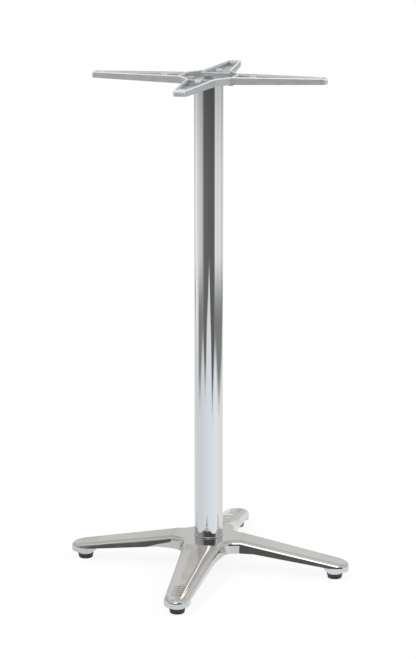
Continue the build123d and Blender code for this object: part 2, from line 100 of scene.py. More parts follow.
# Points nearer than this are one point, and edges shorter than this are slivers
weld_distance = 0.000002
sliver_size = 0.00001


# Small helpers for shader trees

def new_material(name):
    """A material with an empty tree; returns the material and its tree."""
    material = bpy.data.materials.new(name)
    material.use_nodes = True
    material.node_tree.nodes.clear()
    return material, material.node_tree


def add_node(tree, kind, **settings):
    """A shader node with its settings and socket values filled in."""
    node = tree.nodes.new(kind)
    for name, value in settings.items():
        setattr(node, name, value)
    return node


def put(tree, socket, value):
    """Link an output to a socket, or set the socket's own value."""
    if isinstance(value, bpy.types.NodeSocket):
        tree.links.new(value, socket)
    else:
        socket.default_value = value


def calc(tree, operation, first, second=0.0, third=0.0):
    """A math node's result."""
    node = add_node(tree, "ShaderNodeMath", operation=operation)
    for socket, value in zip(node.inputs, (first, second, third)):
        put(tree, socket, value)
    return node.outputs[0]


def soft_step(tree, value, start, end, low=0.0, high=1.0):
    """Smooth change from low to high as a value goes from start to end."""
    node = add_node(tree, "ShaderNodeMapRange", interpolation_type="SMOOTHSTEP")
    for name, amount in (("Value", value), ("From Min", start), ("From Max", end),
                         ("To Min", low), ("To Max", high)):
        put(tree, node.inputs[name], amount)
    return node.outputs["Result"]


def blend_colours(tree, factor, first, second, blend_type="MIX"):
    """Colour between two colours, or the first one multiplied or darkened by the second."""
    node = add_node(tree, "ShaderNodeMix", data_type="RGBA", blend_type=blend_type)
    put(tree, node.inputs["Factor"], factor)
    put(tree, node.inputs[6], first)
    put(tree, node.inputs[7], second)
    return node.outputs[2]


def blend_levels(tree, factor, first, second):
    """Value between two values."""
    node = add_node(tree, "ShaderNodeMix", data_type="FLOAT")
    put(tree, node.inputs["Factor"], factor)
    put(tree, node.inputs[2], first)
    put(tree, node.inputs[3], second)
    return node.outputs[0]


def colour_ramp(tree, value, stops):
    """Colour looked up from (place, colour) stops."""
    node = add_node(tree, "ShaderNodeValToRGB")
    ramp = node.color_ramp
    ramp.interpolation = "EASE"
    while len(ramp.elements) < len(stops):
        ramp.elements.new(1.0)
    for element, (place, colour) in zip(ramp.elements, stops):
        element.position = place
        element.color = colour
    put(tree, node.inputs[0], value)
    return node.outputs[0]


def grey(level, warmth=0.0):
    """Grey of a light level; warmth adds red and takes away blue."""
    return (level * (1 + warmth), level, level * (1 - warmth), 1.0)


def round_stops(rows):
    """Ramp stops for levels given round the base in degrees, front at 0."""
    return [(0.5 + angle / 360, grey(*levels)) for angle, *levels in rows]


def object_place(tree):
    """Place on a piece, in metres from the middle of the foot."""
    return add_node(tree, "ShaderNodeTexCoord").outputs["Object"]


def split(tree, vector):
    """The three parts of a direction or place."""
    node = add_node(tree, "ShaderNodeSeparateXYZ")
    put(tree, node.inputs[0], vector)
    return node.outputs


def length_of(tree, place):
    """Distance of a place from the middle of the foot."""
    node = add_node(tree, "ShaderNodeVectorMath", operation="LENGTH")
    put(tree, node.inputs[0], place)
    return node.outputs["Value"]


# Studio: what the polished metal mirrors, and the pale floor

def compass(tree, vector):
    """Where a direction or place lies: turn round the base, height, and how far behind it."""
    node = add_node(tree, "ShaderNodeVectorRotate", rotation_type="Z_AXIS")
    put(tree, node.inputs["Vector"], vector)
    put(tree, node.inputs["Angle"], math.radians(-camera_azimuth))
    right, away, up = split(tree, node.outputs[0])
    turn = calc(tree, "ARCTAN2", right, calc(tree, "MULTIPLY", away, -1.0))
    round_place = calc(tree, "MULTIPLY_ADD", turn, 0.5 / math.pi, 0.5)
    return round_place, up, away


# Light levels of the walls round the base, by degrees from the front
wall_levels = [
    (-180, 0.62), (-172, 0.66), (-160, 0.80), (-135, 0.86), (-117, 1.05), (-100, 0.82),
    (-80, 0.74), (-52, 0.62), (-44, 0.50), (-37, 0.13), (38, 0.11), (46, 0.35),
    (53, 1.05), (62, 1.12), (76, 0.95), (110, 1.0), (150, 0.85), (168, 0.72), (180, 0.62),
]
# How much duller the walls are above the base than near the floor
upper_wall_levels = [
    (-180, 1.0), (-160, 1.0), (-147, 0.70), (-45, 0.70), (-34, 1.0), (34, 1.0), (44, 0.3),
    (56, 0.25), (66, 0.8), (150, 0.85), (165, 1.0), (180, 1.0),
]
# Painted light of the floor far from the base, which it glows with to the metal
far_floor_levels = [
    (-180, 0.62), (-172, 0.66), (-160, 0.72), (-140, 0.80), (-128, 0.98), (-112, 1.12),
    (-98, 0.88), (-78, 0.80), (-56, 0.70), (-46, 0.50), (-38, 0.17), (40, 0.14),
    (47, 0.32), (54, 0.98), (60, 1.10), (70, 0.85), (84, 0.95), (102, 0.98),
    (122, 0.72), (150, 0.90), (166, 0.78), (180, 0.62),
]
# The shaded rim of the white sheet, with one gap on the left
rim_shade_levels = [
    (-180, 0.27), (-127, 0.27), (-118, 1.15), (-93, 1.10), (-84, 0.27), (180, 0.27),
]
# Painted light of the white sheet close round the base, a little brighter on the right
near_floor_levels = [
    (-180, 0.88), (-150, 0.84, 0.0), (-60, 0.84, -0.01), (-15, 0.93, -0.04),
    (25, 0.97, -0.05), (60, 1.02, -0.03), (115, 0.93, 0.01), (180, 0.88),
]
# How far the white sheet reaches, in shares of sheet_scale metres
sheet_reaches = [
    (-180, 0.40), (-120, 0.22), (-75, 0.14), (-47, 0.20), (-26, 0.15), (-9, 0.24),
    (4, 0.30), (16, 0.22), (27, 0.13), (52, 0.19), (88, 0.135), (118, 0.16), (180, 0.40),
]
sheet_scale = 10.0
sheet_edge_fade = 0.28

# Other parts of the floor: distances from its middle in metres, levels and colours
rim_shade_end = (2.2, 3.3)
far_dusk = (4.0, 8.5)
far_dusk_level = 0.68
lit_end_start = (1.2, 2.0)
lit_end_colour = (0.85, 0.86, 0.88, 1.0)
# Near the base the floor is not all white to the camera, which leaves a faint shadow
shadow_fade = (0.45, 1.3)
white_in_shadow = 0.89
chalk_colour = (0.94, 0.94, 0.94, 1.0)
white = (1.0, 1.0, 1.0, 1.0)

# Behind the base: a white wall, a warm grey ceiling over it, lighter overhead
back_ceiling = [
    (0.0, (0.67, 0.67, 0.67, 1.0)), (0.055, (0.71, 0.71, 0.71, 1.0)),
    (0.12, (0.845, 0.845, 0.845, 1.0)), (0.24, (0.83, 0.83, 0.825, 1.0)),
    (0.415, (0.84, 0.835, 0.83, 1.0)), (0.436, (0.72, 0.69, 0.65, 1.0)),
    (0.52, (0.66, 0.63, 0.58, 1.0)), (0.70, (0.66, 0.63, 0.58, 1.0)),
    (0.86, (0.82, 0.79, 0.75, 1.0)), (1.0, (0.92, 0.90, 0.87, 1.0)),
]
front_ceiling_colour = (0.82, 0.80, 0.77, 1.0)
zenith_colour = (0.92, 0.90, 0.87, 1.0)
soft_light_colour = (0.75, 0.75, 0.75, 1.0)

# Where each band of the room fades into the next, in degrees above the floor
wall_into_ceiling = (4.0, 22.0)
room_into_ceiling = (29.0, 36.0)
ceiling_into_zenith = (62.0, 84.0)
upper_wall_foot = (4.0, 10.0)
upper_wall_head = (28.0, 34.0)
# How much a direction points to the front where the back of the room turns into the front
back_into_front = (-0.05, 0.30)

# Strip light in front: its place round the base in turns, its height in degrees
strip_colour = (2.5, 2.42, 2.35, 1.0)
strip_turn = 0.496
strip_half_turn = 0.030
strip_turn_fade = 0.016
strip_wider_once = 0.022
strip_height = 44.0
strip_half_height = 10.0
strip_height_fade = 6.0
# Light that met metal once has a lower count of bounces than this, twice a higher one
second_bounce = 1.5


def level_colour(tree, level):
    """Grey colour of a worked-out level."""
    colour = add_node(tree, "ShaderNodeCombineXYZ")
    for socket in colour.inputs:
        put(tree, socket, level)
    return colour.outputs[0]


def strip_light(tree, round_place, height):
    """Where the strip light shows; it looks narrower where metal is mirrored in metal."""
    bounces = add_node(tree, "ShaderNodeLightPath").outputs["Glossy Depth"]
    once = calc(tree, "LESS_THAN", bounces, second_bounce)
    off_turn = calc(tree, "ABSOLUTE", calc(tree, "SUBTRACT", round_place, strip_turn))
    off_turn = calc(tree, "SUBTRACT", off_turn, calc(tree, "MULTIPLY", once, strip_wider_once))
    off_height = calc(tree, "ABSOLUTE", calc(tree, "SUBTRACT", height, strip_height))
    side_end = strip_half_turn + strip_turn_fade
    top_end = strip_half_height + strip_height_fade
    return calc(tree, "MULTIPLY",
                soft_step(tree, off_turn, strip_half_turn, side_end, low=1.0, high=0.0),
                soft_step(tree, off_height, strip_half_height, top_end, low=1.0, high=0.0))


def studio_light(tree, direction):
    """Light of the studio seen in a direction above the floor."""
    round_place, up, away = compass(tree, direction)
    height = calc(tree, "MULTIPLY", calc(tree, "ARCSINE", up), 180 / math.pi)
    walls = colour_ramp(tree, round_place, round_stops(wall_levels))
    ceiling = colour_ramp(tree, calc(tree, "DIVIDE", height, 90.0), back_ceiling)
    back_side = blend_colours(tree, soft_step(tree, height, *wall_into_ceiling), walls, ceiling)
    # In front: dark room up to a pale ceiling, with one narrow strip light
    over_room = soft_step(tree, height, *room_into_ceiling)
    front_side = blend_colours(tree, over_room, walls, front_ceiling_colour)
    zenith = soft_step(tree, height, *ceiling_into_zenith)
    front_side = blend_colours(tree, zenith, front_side, zenith_colour)
    strip = strip_light(tree, round_place, height)
    front_side = blend_colours(tree, strip, front_side, strip_colour)
    front = soft_step(tree, calc(tree, "MULTIPLY", away, -1.0), *back_into_front)
    whole = blend_colours(tree, front, back_side, front_side)
    # The walls are duller above the base than near the floor
    upper = calc(tree, "MULTIPLY", soft_step(tree, height, *upper_wall_foot),
                 soft_step(tree, height, *upper_wall_head, 1.0, 0.0))
    dulling = colour_ramp(tree, round_place, round_stops(upper_wall_levels))
    return blend_colours(tree, upper, whole, dulling, "MULTIPLY")


def seen_directly(tree, rays):
    """Whether the camera sees a place plainly, or through something clear."""
    return calc(tree, "MAXIMUM", rays.outputs["Is Camera Ray"],
                rays.outputs["Is Transmission Ray"])


def make_world():
    """White to the camera, the studio to the metal, plain light otherwise."""
    world = bpy.data.worlds.new("studio")
    bpy.context.scene.world = world
    world.use_nodes = True
    tree = world.node_tree
    tree.nodes.clear()
    direction = add_node(tree, "ShaderNodeTexCoord").outputs["Generated"]
    rays = add_node(tree, "ShaderNodeLightPath")
    shown = studio_light(tree, direction)
    soft = blend_colours(tree, rays.outputs["Is Glossy Ray"], soft_light_colour, shown)
    colour = blend_colours(tree, seen_directly(tree, rays), soft, white)
    light = add_node(tree, "ShaderNodeBackground")
    put(tree, light.inputs["Color"], colour)
    output = add_node(tree, "ShaderNodeOutputWorld")
    tree.links.new(light.outputs[0], output.inputs[0])


def floor_glow_for_metal(tree, place, reach, bounces):
    """Painted light and shade that the floor glows with to the metal: a white sheet, its shaded rim,
    and the room's floor.
    """
    round_place = compass(tree, place)[0]
    far = colour_ramp(tree, round_place, round_stops(far_floor_levels))
    dusk = level_colour(tree, soft_step(tree, reach, *far_dusk, 1.0, far_dusk_level))
    far = blend_colours(tree, 1.0, far, dusk, "MULTIPLY")
    rim = colour_ramp(tree, round_place, round_stops(rim_shade_levels))
    shade = blend_colours(tree, soft_step(tree, reach, *rim_shade_end), rim, far)
    room = blend_colours(tree, 1.0, far, shade, "DARKEN")
    # Metal mirrored in metal sees the room's lit end along the floor
    twice = calc(tree, "GREATER_THAN", bounces, second_bounce)
    lit_end = calc(tree, "MULTIPLY", twice, soft_step(tree, reach, *lit_end_start))
    beyond = blend_colours(tree, lit_end, room, lit_end_colour)
    # The white sheet ends in an uneven soft edge
    edge = colour_ramp(tree, round_place, round_stops(sheet_reaches))
    past_edge = calc(tree, "SUBTRACT", reach, calc(tree, "MULTIPLY", edge, sheet_scale))
    past_edge = soft_step(tree, past_edge, -sheet_edge_fade, sheet_edge_fade)
    near = colour_ramp(tree, round_place, round_stops(near_floor_levels))
    return blend_colours(tree, past_edge, near, beyond)


def floor_finish():
    """Pale floor: white to the camera with a faint shadow; to the metal it glows with painted light
    and shade, a sheet's edge among them.
    """
    material, tree = new_material("pale_floor")
    place = object_place(tree)
    rays = add_node(tree, "ShaderNodeLightPath")
    reach = length_of(tree, place)
    mirrored = floor_glow_for_metal(tree, place, reach, rays.outputs["Glossy Depth"])
    # Painted light: to glossy rays the floor glows with the levels above, to the camera it is plain
    # white
    shown = blend_colours(tree, rays.outputs["Is Glossy Ray"], white, mirrored)
    glow = add_node(tree, "ShaderNodeEmission")
    put(tree, glow.inputs["Color"], shown)
    chalk = add_node(tree, "ShaderNodeBsdfDiffuse")
    put(tree, chalk.inputs["Color"], chalk_colour)
    plain_white = soft_step(tree, reach, *shadow_fade, white_in_shadow, 1.0)
    plain_white = calc(tree, "MULTIPLY", seen_directly(tree, rays), plain_white)
    share = calc(tree, "MAXIMUM", plain_white, rays.outputs["Is Glossy Ray"])
    mix = add_node(tree, "ShaderNodeMixShader")
    put(tree, mix.inputs[0], share)
    tree.links.new(chalk.outputs[0], mix.inputs[1])
    tree.links.new(glow.outputs[0], mix.inputs[2])
    # Seen from below, the floor is clear, so that the underside shows
    below = add_node(tree, "ShaderNodeNewGeometry").outputs["Backfacing"]
    clear = add_node(tree, "ShaderNodeBsdfTransparent")
    sides = add_node(tree, "ShaderNodeMixShader")
    put(tree, sides.inputs[0], calc(tree, "MULTIPLY", below, rays.outputs["Is Camera Ray"]))
    tree.links.new(mix.outputs[0], sides.inputs[1])
    tree.links.new(clear.outputs[0], sides.inputs[2])
    output = add_node(tree, "ShaderNodeOutputMaterial")
    tree.links.new(sides.outputs[0], output.inputs[0])
    return material


def make_floor():
    """Floor that the feet stand on."""
    bpy.ops.object.select_all(action="DESELECT")
    bpy.ops.mesh.primitive_plane_add(size=2 * floor_half, location=(0, 0, 0))
    floor = bpy.context.object
    floor.name = "floor"
    floor.data.materials.append(floor_finish())


def make_lamp(name, side, away, up, size, power):
    """Soft square lamp aimed at the middle of the column, which no metal mirrors."""
    data = bpy.data.lights.new(name, "AREA")
    data.size = size
    data.energy = power
    lamp = bpy.data.objects.new(name, data)
    bpy.context.scene.collection.objects.link(lamp)
    turn = Matrix.Rotation(math.radians(camera_azimuth), 4, "Z")
    lamp.location = turn @ Vector((side, away, up))
    aim = Vector((0, 0, lamp_aim)) - lamp.location
    lamp.rotation_euler = aim.to_track_quat("-Z", "Y").to_euler()
    lamp.visible_glossy = False


def make_camera():
    """Camera looking down a little; the front leg points towards it, a little to the left."""
    data = bpy.data.cameras.new("camera")
    data.lens = camera_lens
    data.sensor_width = 36.0
    data.clip_end = 50.0
    camera = bpy.data.objects.new("camera", data)
    bpy.context.scene.collection.objects.link(camera)
    turn = Matrix.Rotation(math.radians(camera_azimuth), 4, "Z")
    camera.location = turn @ Vector((camera_sideways, -camera_distance, camera_height))
    tilt = Matrix.Rotation(math.radians(90 - camera_pitch), 4, "X")
    camera.rotation_euler = (turn @ tilt).to_euler()
    bpy.context.scene.camera = camera


# Effects that several finishes share

# How much one pattern counts next to another
line_share = 0.012
speck_share = 0.02
coarse_share = 0.6
# Noise scale of the coarse grain, in shares of the fine one's
coarse_scale = 0.3
# How much a pattern changes the tone, and the tone without it
cloud_tone = (0.05, 0.965)
blotch_tone = (0.16, 0.92)


def new_group(name, inputs, outputs):
    """Empty shader group with named value inputs and outputs."""
    group = bpy.data.node_groups.new(name, "ShaderNodeTree")
    for label, kind, default in inputs:
        socket = group.interface.new_socket(label, in_out="INPUT", socket_type=kind)
        if default is not None:
            socket.default_value = default
    for label, kind in outputs:
        group.interface.new_socket(label, in_out="OUTPUT", socket_type=kind)
    entry = group.nodes.new("NodeGroupInput")
    result = group.nodes.new("NodeGroupOutput")
    return group, entry.outputs, result.inputs


def noise(tree, vector, scale, detail, roughness):
    """Noise value at a scale."""
    node = add_node(tree, "ShaderNodeTexNoise")
    put(tree, node.inputs["Vector"], vector)
    put(tree, node.inputs["Scale"], scale)
    put(tree, node.inputs["Detail"], detail)
    put(tree, node.inputs["Roughness"], roughness)
    return node.outputs["Fac"]


def stretch(tree, vector, amounts):
    """Pattern place stretched along the axes."""
    node = add_node(tree, "ShaderNodeVectorMath", operation="MULTIPLY")
    put(tree, node.inputs[0], vector)
    put(tree, node.inputs[1], amounts)
    return node.outputs[0]


def make_hand_polish():
    """Buffed metal: slow waves of the surface, cloudy haze and fine wheel lines."""
    group, inputs, outputs = new_group(
        "hand_polish",
        [("Place", "NodeSocketVector", None), ("Wave Size", "NodeSocketFloat", 22.0),
         ("Wave Depth", "NodeSocketFloat", 1.0), ("Clear", "NodeSocketFloat", 0.05),
         ("Hazy", "NodeSocketFloat", 0.12)],
        [("Haze", "NodeSocketFloat"), ("Relief", "NodeSocketFloat"), ("Tone", "NodeSocketFloat")],
    )
    place = inputs["Place"]
    waves = noise(group, place, inputs["Wave Size"], detail=1.0, roughness=0.4)
    line_place = stretch(group, place, (420.0, 420.0, 60.0))
    lines = noise(group, line_place, scale=1.0, detail=2.0, roughness=0.6)
    clouds = noise(group, place, scale=34.0, detail=3.0, roughness=0.6)
    specks = noise(group, place, scale=900.0, detail=1.0, roughness=0.5)
    haze = soft_step(group, clouds, 0.35, 0.75, low=inputs["Clear"], high=inputs["Hazy"])
    put(group, outputs["Haze"], haze)
    relief = calc(group, "MULTIPLY", waves, inputs["Wave Depth"])
    put(group, outputs["Relief"], calc(group, "MULTIPLY_ADD", lines, line_share, relief))
    tone = calc(group, "MULTIPLY_ADD", clouds, *cloud_tone)
    put(group, outputs["Tone"], calc(group, "MULTIPLY_ADD", specks, speck_share, tone))
    return group


def make_cast_grain():
    """Tumbled casting: fine grain, soft hollows and rubbed high spots."""
    group, inputs, outputs = new_group(
        "cast_grain",
        [("Place", "NodeSocketVector", None), ("Grain Size", "NodeSocketFloat", 900.0),
         ("Blotch Size", "NodeSocketFloat", 45.0)],
        [("Relief", "NodeSocketFloat"), ("Rub", "NodeSocketFloat"), ("Tone", "NodeSocketFloat")],
    )
    place = inputs["Place"]
    fine = noise(group, place, inputs["Grain Size"], detail=2.0, roughness=0.6)
    coarse_size = calc(group, "MULTIPLY", inputs["Grain Size"], coarse_scale)
    coarse = noise(group, place, coarse_size, detail=2.0, roughness=0.5)
    blotch = noise(group, place, inputs["Blotch Size"], detail=3.0, roughness=0.55)
    relief = calc(group, "MULTIPLY_ADD", coarse, coarse_share, fine)
    put(group, outputs["Relief"], relief)
    put(group, outputs["Rub"], soft_step(group, blotch, 0.3, 0.7))
    put(group, outputs["Tone"], calc(group, "MULTIPLY_ADD", blotch, *blotch_tone))
    return group


hand_polish = make_hand_polish()
cast_grain = make_cast_grain()


def use_group(tree, group, **values):
    """Place a shared effect in a material; underscores stand for spaces."""
    node = add_node(tree, "ShaderNodeGroup", node_tree=group)
    for name, value in values.items():
        put(tree, node.inputs[name.replace("_", " ")], value)
    return node.outputs


def bump(tree, height, depth):
    """Normal raised by a height; depth is what a height of one stands for, in metres."""
    node = add_node(tree, "ShaderNodeBump")
    put(tree, node.inputs["Strength"], 1.0)
    put(tree, node.inputs["Distance"], depth)
    put(tree, node.inputs["Height"], height)
    return node.outputs[0]


def toned(tree, colour, tone):
    """Colour made lighter and darker by a tone."""
    node = add_node(tree, "ShaderNodeVectorMath", operation="SCALE")
    put(tree, node.inputs[0], colour)
    put(tree, node.inputs["Scale"], tone)
    return node.outputs[0]


def finished(tree, material, **sockets):
    """Principled surface with its sockets; underscores stand for spaces."""
    surface = add_node(tree, "ShaderNodeBsdfPrincipled")
    for name, value in sockets.items():
        put(tree, surface.inputs[name.replace("_", " ")], value)
    output = add_node(tree, "ShaderNodeOutputMaterial")
    tree.links.new(surface.outputs[0], output.inputs[0])
    return material


# Foot: where the painted shade round the column ends, how much it darkens the metal, and
# the waves of the buffing, in metres
hub_shade_edge = (0.10, 0.19)
hub_shade_tone = 0.92
wave_height = 0.0009

# Buffed tops of the long legs: half width of the flat at the column, how it
# narrows along the leg, and how the metal falls away past it
crown_half = 0.0351
crown_narrowing = 0.0706
crown_fall = (-0.014, 0.008)
crown_depth = 0.0029
crown_start = (0.05, 0.14)

# Bowed walls of the left leg: height and slope of their middle line
bow_height = 0.089
bow_slope = 0.33
bow_half = 0.020
bow_depth = 0.0007
bow_end = (-0.235, -0.20)
left_seam = -0.0745


def leg_crown(tree, place):
    """How far the long legs' tops are buffed down towards their edges, in metres."""
    parts = split(tree, place)
    across = calc(tree, "ABSOLUTE", parts["X"])
    along = calc(tree, "ABSOLUTE", parts["Y"])
    half_flat = calc(tree, "MULTIPLY_ADD", along, -crown_narrowing, crown_half)
    past_flat = calc(tree, "SUBTRACT", across, half_flat)
    fall = soft_step(tree, past_flat, *crown_fall, 0.0, -crown_depth)
    return calc(tree, "MULTIPLY", fall, soft_step(tree, along, *crown_start))


def left_wall_bow(tree, place):
    """How far the left leg's walls bulge between shoulder and rim, in metres."""
    parts = split(tree, place)
    middle = calc(tree, "MULTIPLY_ADD", parts["X"], bow_slope, bow_height)
    off_middle = calc(tree, "ABSOLUTE", calc(tree, "SUBTRACT", parts["Z"], middle))
    bulge = soft_step(tree, off_middle, 0.0, bow_half, 0.0, -bow_depth)
    bulge = calc(tree, "MULTIPLY", bulge, soft_step(tree, parts["X"], *bow_end))
    return calc(tree, "MULTIPLY", bulge, calc(tree, "LESS_THAN", parts["X"], left_seam))


def polished_casting():
    """Cast aluminium of the foot, buffed to a mirror, with painted shade round the column."""
    material, tree = new_material("polished_casting")
    place = object_place(tree)
    polish = use_group(tree, hand_polish, Place=place, Wave_Size=20.0, Wave_Depth=1.0,
                       Clear=0.035, Hazy=0.085)
    # Painted shade: the metal's colour is made darker round the column
    painted_hub_shade = soft_step(tree, length_of(tree, place), *hub_shade_edge, hub_shade_tone, 1.0)
    tone = calc(tree, "MULTIPLY", polish["Tone"], painted_hub_shade)
    shape = calc(tree, "ADD", leg_crown(tree, place), left_wall_bow(tree, place))
    relief = calc(tree, "MULTIPLY_ADD", polish["Relief"], wave_height, shape)
    return finished(
        tree, material,
        Base_Color=toned(tree, (0.635, 0.63, 0.62), tone),
        Metallic=1.0,
        Roughness=polish["Haze"],
        Normal=bump(tree, relief, depth=1.0),
    )


def chromed_tube():
    """Chromed steel tube with faint drawing lines along it."""
    material, tree = new_material("chromed_tube")
    place = object_place(tree)
    long_place = stretch(tree, place, (1.0, 1.0, 0.06))
    polish = use_group(tree, hand_polish, Place=long_place, Wave_Size=60.0, Wave_Depth=0.5,
                       Clear=0.02, Hazy=0.05)
    return finished(
        tree, material,
        Base_Color=toned(tree, (0.715, 0.72, 0.725), polish["Tone"]),
        Metallic=1.0,
        Roughness=polish["Haze"],
        Normal=bump(tree, polish["Relief"], depth=0.00003),
    )


# Spider's top, with a painted highlight on the rims and painted light in the troughs, in metres below
# the rims or across the arms
rim_highlight_depth = 0.0010
rim_highlight_fade = 0.0009
painted_light_depth = 0.0030
painted_light_fade = 0.0025
trough_half = 0.0365
trough_narrowing = 0.106
trough_edge = 0.0005
# Painted light deep in the troughs, as a share of the painted light just under the rims
deep_painted_light = 0.10
# How much the cutter's marks change the relief, and the relief without them
cutter_relief = (0.15, 0.5)
# Own colour of the skin, then the painted light in the troughs and the painted highlight on the rims
skin_colour = (0.425, 0.442, 0.455, 1.0)
painted_light_colour = (0.88, 0.90, 0.91, 1.0)
rim_highlight_colour = (1.0, 1.0, 1.0)


def trough_painted_light(tree, parts):
    """Painted light on the skin inside the troughs, most of all just under the rims."""
    across, along = (calc(tree, "ABSOLUTE", parts[axis]) for axis in "XY")
    nearer = calc(tree, "MINIMUM", across, along)
    farther = calc(tree, "MAXIMUM", across, along)
    wall_middle = calc(tree, "MULTIPLY_ADD", farther, -trough_narrowing, trough_half)
    inside = soft_step(tree, calc(tree, "SUBTRACT", wall_middle, nearer),
                       -trough_edge, trough_edge)
    painted_light_top = rim_height - painted_light_depth
    under_rim = soft_step(tree, parts["Z"], painted_light_top - painted_light_fade, painted_light_top, deep_painted_light, 1.0)
    return calc(tree, "MULTIPLY", inside, under_rim)


def satin_casting():
    """Bare cast aluminium of the spider, tumbled grey, with a painted highlight on its top rims and
    painted light in its troughs.
    """
    material, tree = new_material("satin_casting")
    place = object_place(tree)
    grain = use_group(tree, cast_grain, Place=place, Grain_Size=850.0, Blotch_Size=40.0)
    parts = split(tree, place)
    # Painted highlight: the top rims, found by height, get whiter and shinier metal
    rim_highlight_foot = rim_height - rim_highlight_depth
    rim_highlight = soft_step(tree, parts["Z"], rim_highlight_foot - rim_highlight_fade, rim_highlight_foot)
    cutter_place = stretch(tree, place, (1500.0, 90.0, 90.0))
    cutter = noise(tree, cutter_place, scale=1.0, detail=2.0, roughness=0.6)
    # Painted light: the skin inside the troughs is made paler
    skin = blend_colours(tree, trough_painted_light(tree, parts), skin_colour, painted_light_colour)
    dull = toned(tree, skin, grain["Tone"])
    bright = toned(tree, rim_highlight_colour, grain["Tone"])
    cut = calc(tree, "MULTIPLY_ADD", cutter, *cutter_relief)
    relief = blend_levels(tree, rim_highlight, grain["Relief"], cut)
    rough = soft_step(tree, grain["Rub"], 0.0, 1.0, low=0.34, high=0.46)
    return finished(
        tree, material,
        Base_Color=blend_colours(tree, rim_highlight, dull, bright),
        Metallic=blend_levels(tree, rim_highlight, 0.50, 0.75),
        Roughness=blend_levels(tree, rim_highlight, rough, 0.24),
        Normal=bump(tree, relief, depth=0.00012),
    )


def zinc_steel():
    """Zinc plated fixings, faintly yellow and blue."""
    material, tree = new_material("zinc_steel")
    place = object_place(tree)
    grain = use_group(tree, cast_grain, Place=place, Grain_Size=1600.0, Blotch_Size=120.0)
    colour = blend_colours(tree, grain["Rub"], (0.60, 0.60, 0.56, 1.0), (0.55, 0.58, 0.62, 1.0))
    return finished(
        tree, material,
        Base_Color=colour,
        Metallic=1.0,
        Roughness=soft_step(tree, grain["Rub"], 0.0, 1.0, low=0.22, high=0.34),
        Normal=bump(tree, grain["Relief"], depth=0.00003),
    )


def black_steel():
    """Oiled black screws."""
    material, tree = new_material("black_steel")
    place = object_place(tree)
    grain = use_group(tree, cast_grain, Place=place, Grain_Size=1400.0, Blotch_Size=150.0)
    colour = blend_colours(tree, grain["Rub"], (0.02, 0.02, 0.022, 1.0), (0.035, 0.034, 0.032, 1.0))
    return finished(
        tree, material,
        Base_Color=colour,
        Metallic=0.6,
        Roughness=soft_step(tree, grain["Rub"], 0.0, 1.0, low=0.36, high=0.50),
        Normal=bump(tree, grain["Relief"], depth=0.00004),
    )


def black_pad():
    """Moulded black pads, dull with a fine spark-eroded texture."""
    material, tree = new_material("black_pad")
    place = object_place(tree)
    grain = use_group(tree, cast_grain, Place=place, Grain_Size=1800.0, Blotch_Size=200.0)
    colour = blend_colours(tree, grain["Rub"], (0.022, 0.025, 0.028, 1.0), (0.036, 0.040, 0.043, 1.0))
    return finished(
        tree, material,
        Base_Color=colour,
        Roughness=soft_step(tree, grain["Rub"], 0.0, 1.0, low=0.42, high=0.58),
        Normal=bump(tree, grain["Relief"], depth=0.00006),
    )


finishes = {
    "polished_casting": polished_casting(),
    "chromed_tube": chromed_tube(),
    "satin_casting": satin_casting(),
    "zinc_steel": zinc_steel(),
    "black_steel": black_steel(),
    "black_pad": black_pad(),
}

node_finishes = {
    "base_crosspiece": "polished_casting",
    "base_leg_right": "polished_casting",
    "base_leg_left": "polished_casting",
    "column_tube": "chromed_tube",
    "spider_crosspiece": "satin_casting",
    "spider_arm_right": "satin_casting",
    "spider_arm_left": "satin_casting",
}
for foot in foot_places:
    node_finishes["foot_stud_" + foot] = "zinc_steel"
for node, finish in node_finishes.items():
    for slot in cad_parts[node].material_slots:
        slot.material = finishes[finish]


# Pieces made here, each finer than the solid that it stands for

def turned(name, outline, sides=48, centre=(0.0, 0.0)):
    """Turned piece: a disc drawn up through (radius, height) steps."""
    radius, height = outline[0]
    bpy.ops.object.select_all(action="DESELECT")
    bpy.ops.mesh.primitive_circle_add(
        vertices=sides, radius=radius, fill_type="NGON",
        location=(centre[0], centre[1], height))
    piece = bpy.context.object
    piece.name = name
    piece.data.name = name
    bpy.ops.object.mode_set(mode="EDIT")
    bpy.ops.mesh.select_all(action="SELECT")
    for next_radius, next_height in outline[1:]:
        bpy.ops.mesh.extrude_region_move(
            TRANSFORM_OT_translate={"value": (0, 0, next_height - height)})
        scale = next_radius / radius
        bpy.ops.transform.resize(value=(scale, scale, 1))
        radius, height = next_radius, next_height
    bpy.ops.mesh.select_all(action="SELECT")
    bpy.ops.mesh.remove_doubles(threshold=weld_distance)
    bpy.ops.mesh.normals_make_consistent(inside=False)
    bpy.ops.object.mode_set(mode="OBJECT")
    bpy.ops.object.transform_apply(location=True, rotation=True, scale=True)
    return piece


def combine(piece, tool, operation):
    """Cut a piece with a tool, or weld the tool to it, and clear the tool away."""
    modifier = piece.modifiers.new("tool", "BOOLEAN")
    modifier.operation = operation
    modifier.object = tool
    modifier.solver = "EXACT"
    bpy.ops.object.select_all(action="DESELECT")
    bpy.context.view_layer.objects.active = piece
    piece.select_set(True)
    bpy.ops.object.modifier_apply(modifier=modifier.name)
    bpy.data.objects.remove(tool, do_unlink=True)
    # Clear away the slivers that the cut leaves along its edges
    bpy.ops.object.mode_set(mode="EDIT")
    bpy.ops.mesh.select_all(action="SELECT")
    bpy.ops.mesh.remove_doubles(threshold=sliver_size)
    bpy.ops.mesh.dissolve_degenerate(threshold=sliver_size)
    bpy.ops.object.mode_set(mode="OBJECT")


